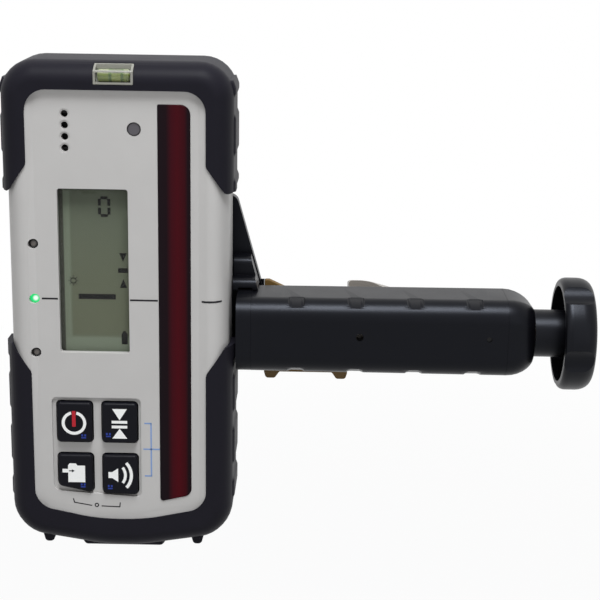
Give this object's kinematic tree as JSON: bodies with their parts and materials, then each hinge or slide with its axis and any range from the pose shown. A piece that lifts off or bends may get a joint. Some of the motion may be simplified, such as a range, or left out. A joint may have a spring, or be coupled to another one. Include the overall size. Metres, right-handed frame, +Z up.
{
  "type": "laser receiver",
  "caption": "Hand-held laser level receiver with display, detector window and keys, on a rod clamp with a grip handle and knob-driven jaw.",
  "frame": {"origin": "centre of the fixed jaw's rod face, level with the clamp screw", "axes": "+X along the clamp screw towards the knob, +Y away from the display side, +Z up"},
  "size_m": [0.185, 0.0565, 0.157],
  "materials": {
    "shell_grey": "moulded, fine texture",
    "back_grey": "moulded, fine texture",
    "bumper_rubber": "satin overmould",
    "seal_rubber": "matt",
    "steel": "zinc plated",
    "brass": "turned",
    "window_red": "dark red filter, polished",
    "clear_cover": "clear, polished",
    "lcd_glass": "grey-green display glass",
    "black_plastic": "moulded",
    "key_black": "satin cap with printed symbols",
    "lamp_green": "lit lamp lens",
    "lamp_dark": "unlit lamp lens",
    "vial_liquid": "yellow-green liquid",
    "board": "solder mask",
    "cell": "plain wrapped cell",
    "bracket_black": "moulded, satin",
    "jaw_taupe": "moulded, satin",
    "pad_tan": "tan rubber"
  },
  "bodies": {
    "receiver": {"front_shell": "shell_grey", "rear_shell": "back_grey", "top_bumper": "bumper_rubber", "bottom_bumper": "bumper_rubber", "housing_seal": "seal_rubber", "keypad_mat": "seal_rubber", "case_screws": "steel", "board_screws": "steel", "battery_contacts": "steel", "door_pin": "steel", "grip_screws": "steel", "mount_insert": "brass", "spindle_bush": "brass", "detector_window": "window_red", "lcd_cover": "clear_cover", "vial_frame": "clear_cover", "vial_tube": "clear_cover", "lcd_panel": "lcd_glass", "lcd_holder": "black_plastic", "buzzer": "black_plastic", "photodiodes": "black_plastic", "nose_bush": "black_plastic", "cap_screw": "black_plastic", "lamp_grade": "lamp_green", "lamp_high": "lamp_dark", "lamp_low": "lamp_dark", "light_sensor": "lamp_dark", "vial_liquid": "vial_liquid", "main_board": "board", "sensor_board": "board", "battery_cells": "cell", "bracket_frame": "bracket_black", "grip_handle": "bracket_black", "grip_cap": "bracket_black", "upper_rod_pad": "pad_tan", "lower_rod_pad": "pad_tan"},
    "power_key": {"power_key": "key_black"},
    "precision_key": {"precision_key": "key_black"},
    "mode_key": {"mode_key": "key_black"},
    "volume_key": {"volume_key": "key_black"},
    "battery_door": {"battery_door": "back_grey"},
    "bracket_screw": {"bracket_screw": "bracket_black"},
    "knob": {"knob": "bracket_black", "knob_pin": "steel", "knob_cap": "bracket_black", "clamp_spindle": "steel", "retaining_ring": "steel", "thrust_washer": "steel"},
    "moving_jaw": {"moving_jaw": "jaw_taupe", "jaw_nut": "brass"}
  },
  "joints": [
    {"name": "power_key_press", "type": "slide", "parent": "receiver", "child": "power_key", "axis": [0, 1, 0], "range_m": [0, 0.0007], "stiffness_N_per_m": 4000},
    {"name": "precision_key_press", "type": "slide", "parent": "receiver", "child": "precision_key", "axis": [0, 1, 0], "range_m": [0, 0.0007], "stiffness_N_per_m": 4000},
    {"name": "mode_key_press", "type": "slide", "parent": "receiver", "child": "mode_key", "axis": [0, 1, 0], "range_m": [0, 0.0007], "stiffness_N_per_m": 4000},
    {"name": "volume_key_press", "type": "slide", "parent": "receiver", "child": "volume_key", "axis": [0, 1, 0], "range_m": [0, 0.0007], "stiffness_N_per_m": 4000},
    {"name": "knob_turn", "type": "hinge", "parent": "receiver", "child": "knob", "pos_m": [0.095, -0.027, 0], "axis": [1, 0, 0], "range_deg": [-990, 990]},
    {"name": "jaw_slide", "type": "slide", "parent": "receiver", "child": "moving_jaw", "axis": [1, 0, 0], "range_m": [-0.022, 0.022]},
    {"name": "battery_door_swing", "type": "hinge", "parent": "receiver", "child": "battery_door", "pos_m": [-0.044, -0.0154, -0.0533], "axis": [-1, 0, 0], "range_deg": [0, 95]},
    {"name": "bracket_screw_turn", "type": "hinge", "parent": "receiver", "child": "bracket_screw", "pos_m": [-0.044, -0.005, 0.0189], "axis": [0, 1, 0], "continuous": true}
  ],
  "couplings": [
    {"joint": "jaw_slide", "follows": "knob_turn", "m_per_rad": 0.0012732}
  ]
}
